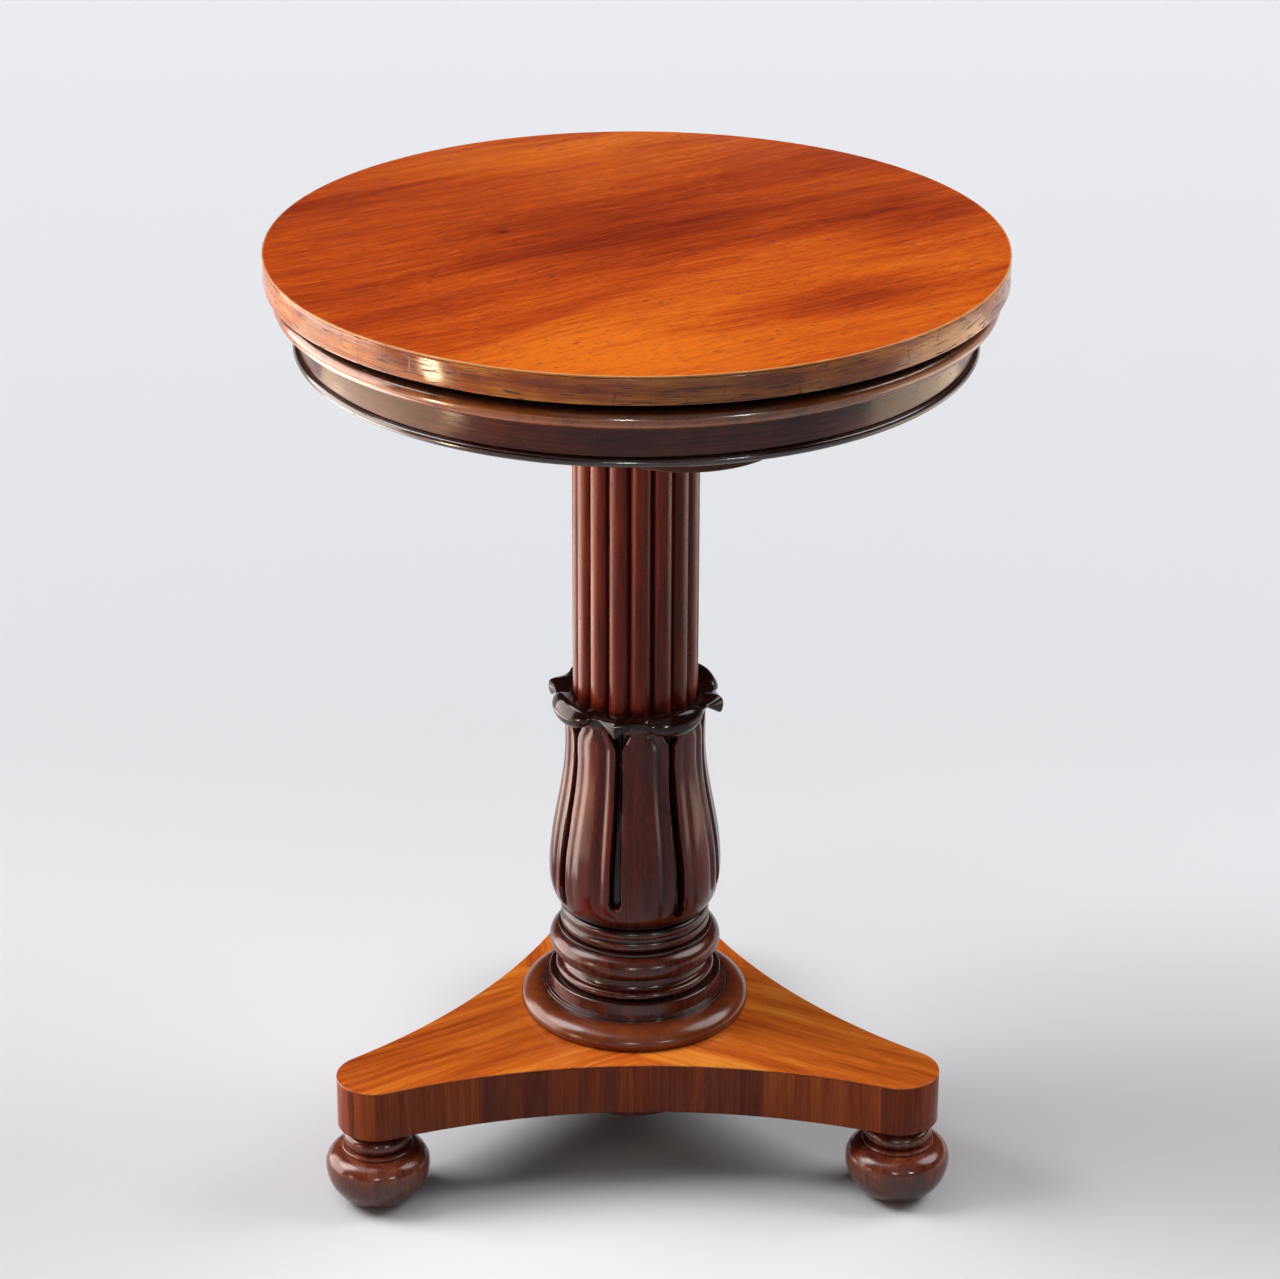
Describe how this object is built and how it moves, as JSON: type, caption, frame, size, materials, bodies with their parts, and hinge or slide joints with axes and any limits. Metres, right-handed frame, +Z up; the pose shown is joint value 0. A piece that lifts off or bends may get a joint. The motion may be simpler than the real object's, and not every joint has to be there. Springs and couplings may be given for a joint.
{
  "type": "metamorphic occasional table",
  "caption": "Round pedestal table on a three-sided platform with bun feet. The top rises on a post in the reeded pillar and turns, leaving a moulded tray below.",
  "frame": {"origin": "on the floor, on the pillar's axis, midway between the feet", "axes": "+Z up along the pillar, -Y to the front as pictured, +X to the right; one foot points back along +Y"},
  "size_m": [0.53, 0.53, 0.717],
  "materials": {
    "polished_mahogany": "French polished, orange-brown",
    "dark_mahogany": "dark polish, glossy",
    "red_mahogany": "polished, red-brown",
    "bare_mahogany": "unpolished, planed",
    "brass": "dull, handled",
    "steel": "dark, worn",
    "leather": "buff leather"
  },
  "bodies": {
    "pedestal": {"platform_core": "bare_mahogany", "platform_top_veneer": "polished_mahogany", "platform_edge_veneer": "polished_mahogany", "bun_foot_front_left": "dark_mahogany", "bun_foot_front_right": "dark_mahogany", "bun_foot_back": "dark_mahogany", "retaining_nut": "dark_mahogany", "column_base": "dark_mahogany", "post_buffer": "leather", "lotus_vase": "red_mahogany", "reeded_shaft": "red_mahogany", "column_capital": "red_mahogany", "guide_bush": "brass", "bush_screw_1": "steel", "bush_screw_2": "steel", "bush_screw_3": "steel", "bush_screw_4": "steel", "tray_bearer": "bare_mahogany", "bearer_screw_1": "steel", "bearer_screw_2": "steel", "bearer_screw_3": "steel", "bearer_screw_4": "steel", "tray_board": "polished_mahogany", "tray_frieze": "dark_mahogany", "tray_roll": "dark_mahogany", "tray_bead": "dark_mahogany", "lock_socket": "brass", "guide_screw": "brass"},
    "post": {"rising_post": "red_mahogany", "post_ferrule": "brass", "pivot_washer": "brass", "pivot_bolt": "steel"},
    "top": {"pivot_block": "bare_mahogany", "block_screw_1": "steel", "block_screw_2": "steel", "block_screw_3": "steel", "block_screw_4": "steel", "top_board": "bare_mahogany", "top_edge_band": "polished_mahogany", "top_veneer": "polished_mahogany"},
    "lock": {"lock_pin": "steel", "lock_knob": "brass"}
  },
  "joints": [
    {"name": "post_lift", "type": "slide", "parent": "pedestal", "child": "post", "axis": [0, 0, 1], "range_m": [0, 0.3]},
    {"name": "top_turn", "type": "hinge", "parent": "post", "child": "top", "pos_m": [0, 0, 0.678], "axis": [0, 0, 1], "continuous": true},
    {"name": "lock_slide", "type": "slide", "parent": "pedestal", "child": "lock", "axis": [0, 1, 0], "range_m": [-0.009, 0]}
  ]
}
